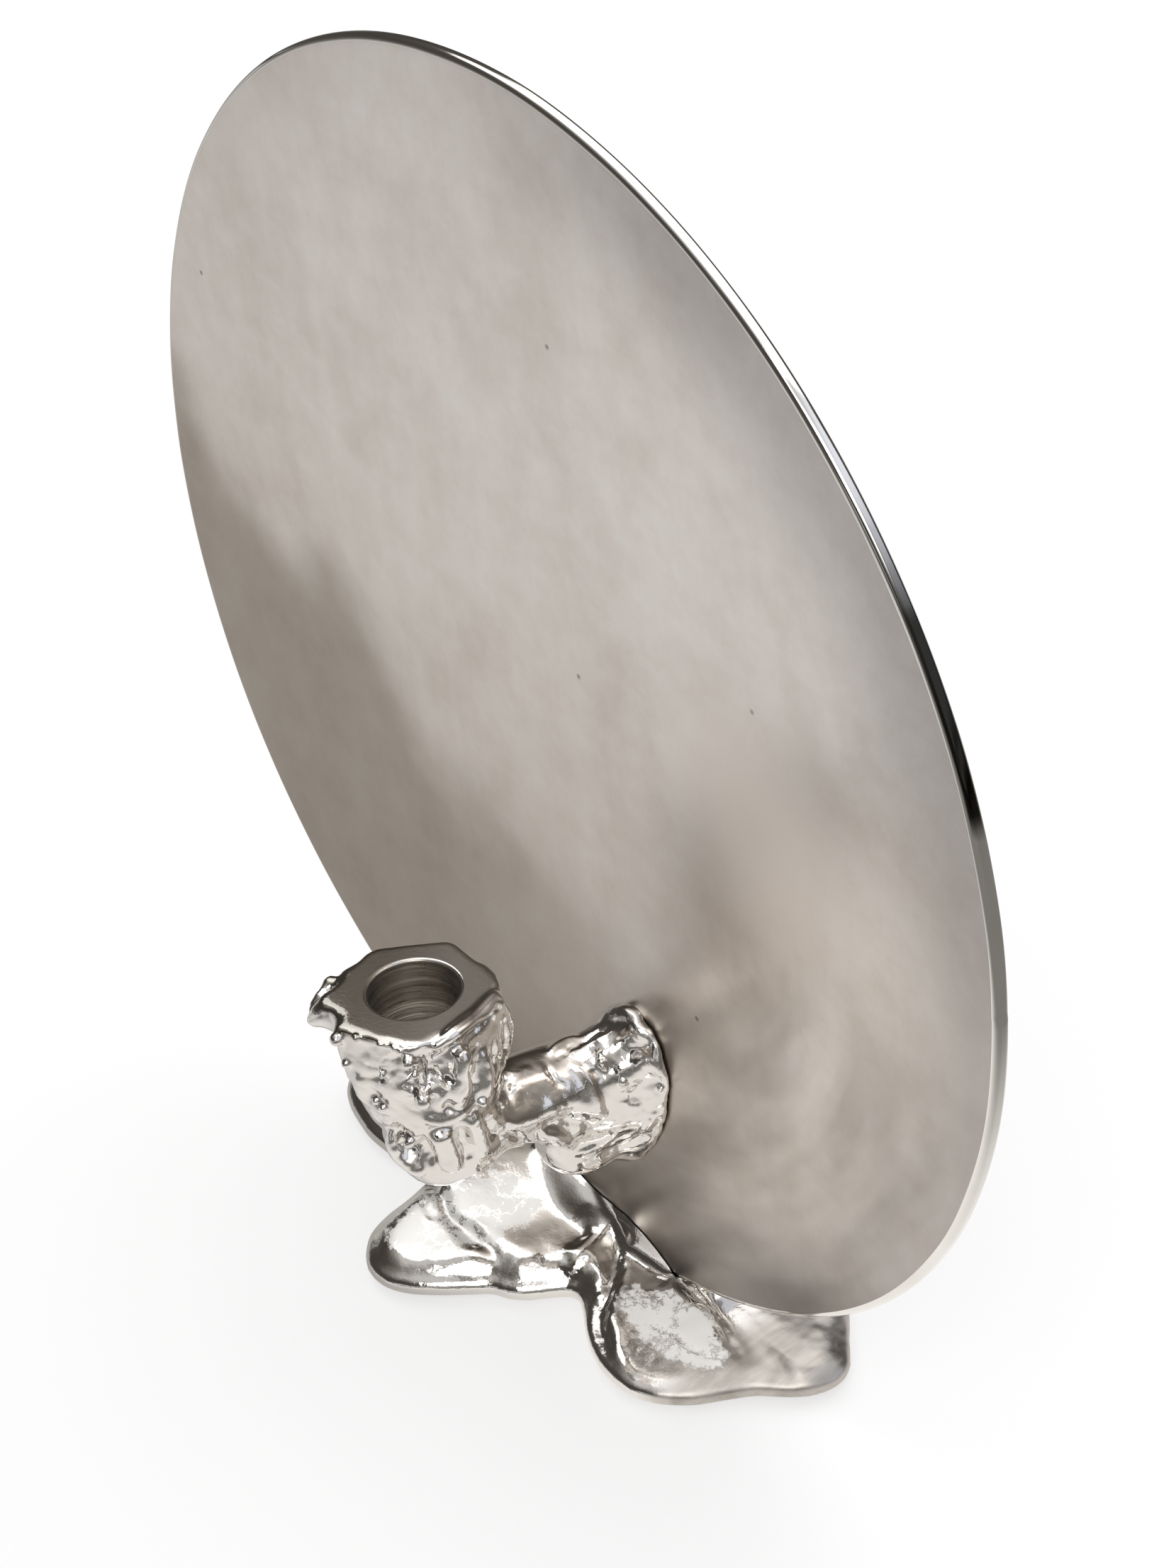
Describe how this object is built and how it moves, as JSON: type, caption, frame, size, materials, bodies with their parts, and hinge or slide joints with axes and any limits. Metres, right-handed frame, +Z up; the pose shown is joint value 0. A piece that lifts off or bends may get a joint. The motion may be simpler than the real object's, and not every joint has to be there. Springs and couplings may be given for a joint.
{
  "type": "drip candle holder",
  "caption": "Table candle holder: a round nickel reflector disc standing in a cast puddle of metal, with a cast drip-covered arm and taper cup in front of it.",
  "frame": {"origin": "on the surface that the holder stands on, under the disc's centre line and middle plane, at the middle of the central felt pad's lower face", "axes": "+Z up, -Y out of the disc's front face towards the candle cup, +X to the right of someone who looks at the front"},
  "size_m": [0.32, 0.1474, 0.3276],
  "materials": {
    "satin_nickel": "nickel plated, satin faces, polished edge",
    "polished_nickel": "nickel plated casting, mirror polished over a rough skin",
    "screw_steel": "plain",
    "black_felt": "felt"
  },
  "bodies": {
    "root": {"reflector_disc": "satin_nickel", "base_casting": "polished_nickel", "candle_arm": "polished_nickel", "arm_screw_upper": "screw_steel", "arm_screw_lower": "screw_steel", "arm_washer_upper": "screw_steel", "arm_washer_lower": "screw_steel", "felt_pad_center": "black_felt", "felt_pad_tongue": "black_felt", "felt_pad_front": "black_felt", "felt_pad_right": "black_felt", "felt_pad_left": "black_felt", "felt_pad_rear": "black_felt"}
  },
  "joints": []
}
